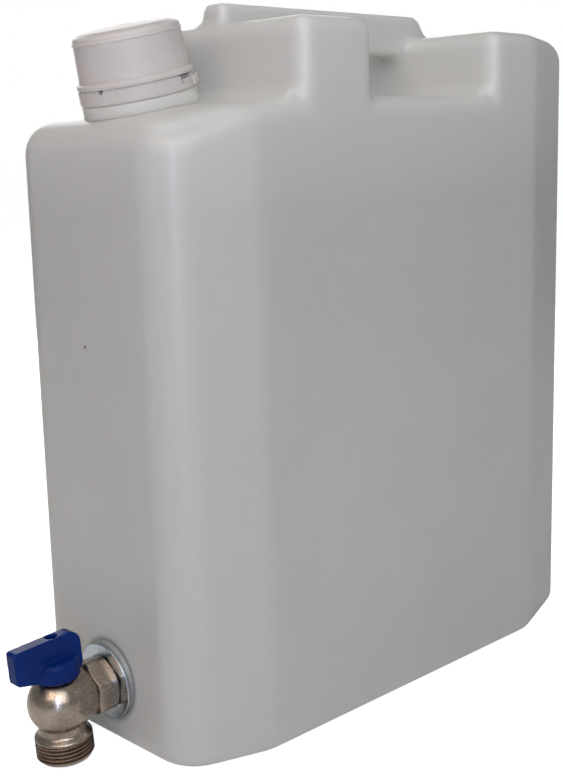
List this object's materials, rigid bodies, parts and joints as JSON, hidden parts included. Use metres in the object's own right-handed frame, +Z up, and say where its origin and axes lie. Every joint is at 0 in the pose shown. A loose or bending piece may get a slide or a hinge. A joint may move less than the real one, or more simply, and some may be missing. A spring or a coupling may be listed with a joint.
{
  "type": "water container with tap",
  "caption": "Portable upright plastic water container with a grip bar, a tamper-evident screw cap on a leaning neck and an angled metal ball tap low in its narrow front.",
  "frame": {"origin": "middle of the face that the can stands on", "axes": "+X along the can from the tap end to the rear, +Y across its width, +Z up"},
  "size_m": [0.3445, 0.1324, 0.3377],
  "materials": {
    "can_plastic": "translucent natural polyethylene, satin",
    "cap_plastic": "satin",
    "foam": "matt",
    "nickel_brass": "nickel-plated, blasted",
    "bare_brass": "turned",
    "polished_ball": "polished",
    "seat_plastic": "smooth",
    "black_rubber": "matt",
    "blue_plastic": "semi-gloss",
    "zinc_steel": "bright zinc"
  },
  "bodies": {
    "can_and_tap": {"container_body": "can_plastic", "tamper_ring": "cap_plastic", "valve_body": "nickel_brass", "end_connector": "nickel_brass", "inlet_seat": "seat_plastic", "outlet_seat": "seat_plastic", "outer_washer": "zinc_steel", "inner_gasket": "black_rubber", "inner_washer": "zinc_steel", "lock_nut": "bare_brass"},
    "cap": {"screw_cap": "cap_plastic", "cap_liner": "foam"},
    "lever_group": {"lever": "blue_plastic", "lever_screw": "zinc_steel", "valve_stem": "bare_brass", "stem_orings": "black_rubber", "valve_ball": "polished_ball"}
  },
  "joints": [
    {"name": "tap_lever", "type": "hinge", "parent": "can_and_tap", "child": "lever_group", "pos_m": [-0.17443, 0, 0.02905], "axis": [-0.0698, 0, 0.9976], "range_deg": [0, 90]},
    {"name": "cap_lift", "type": "slide", "parent": "can_and_tap", "child": "cap", "axis": [-0.2079, 0, 0.9781], "range_m": [0, 0.03]}
  ]
}
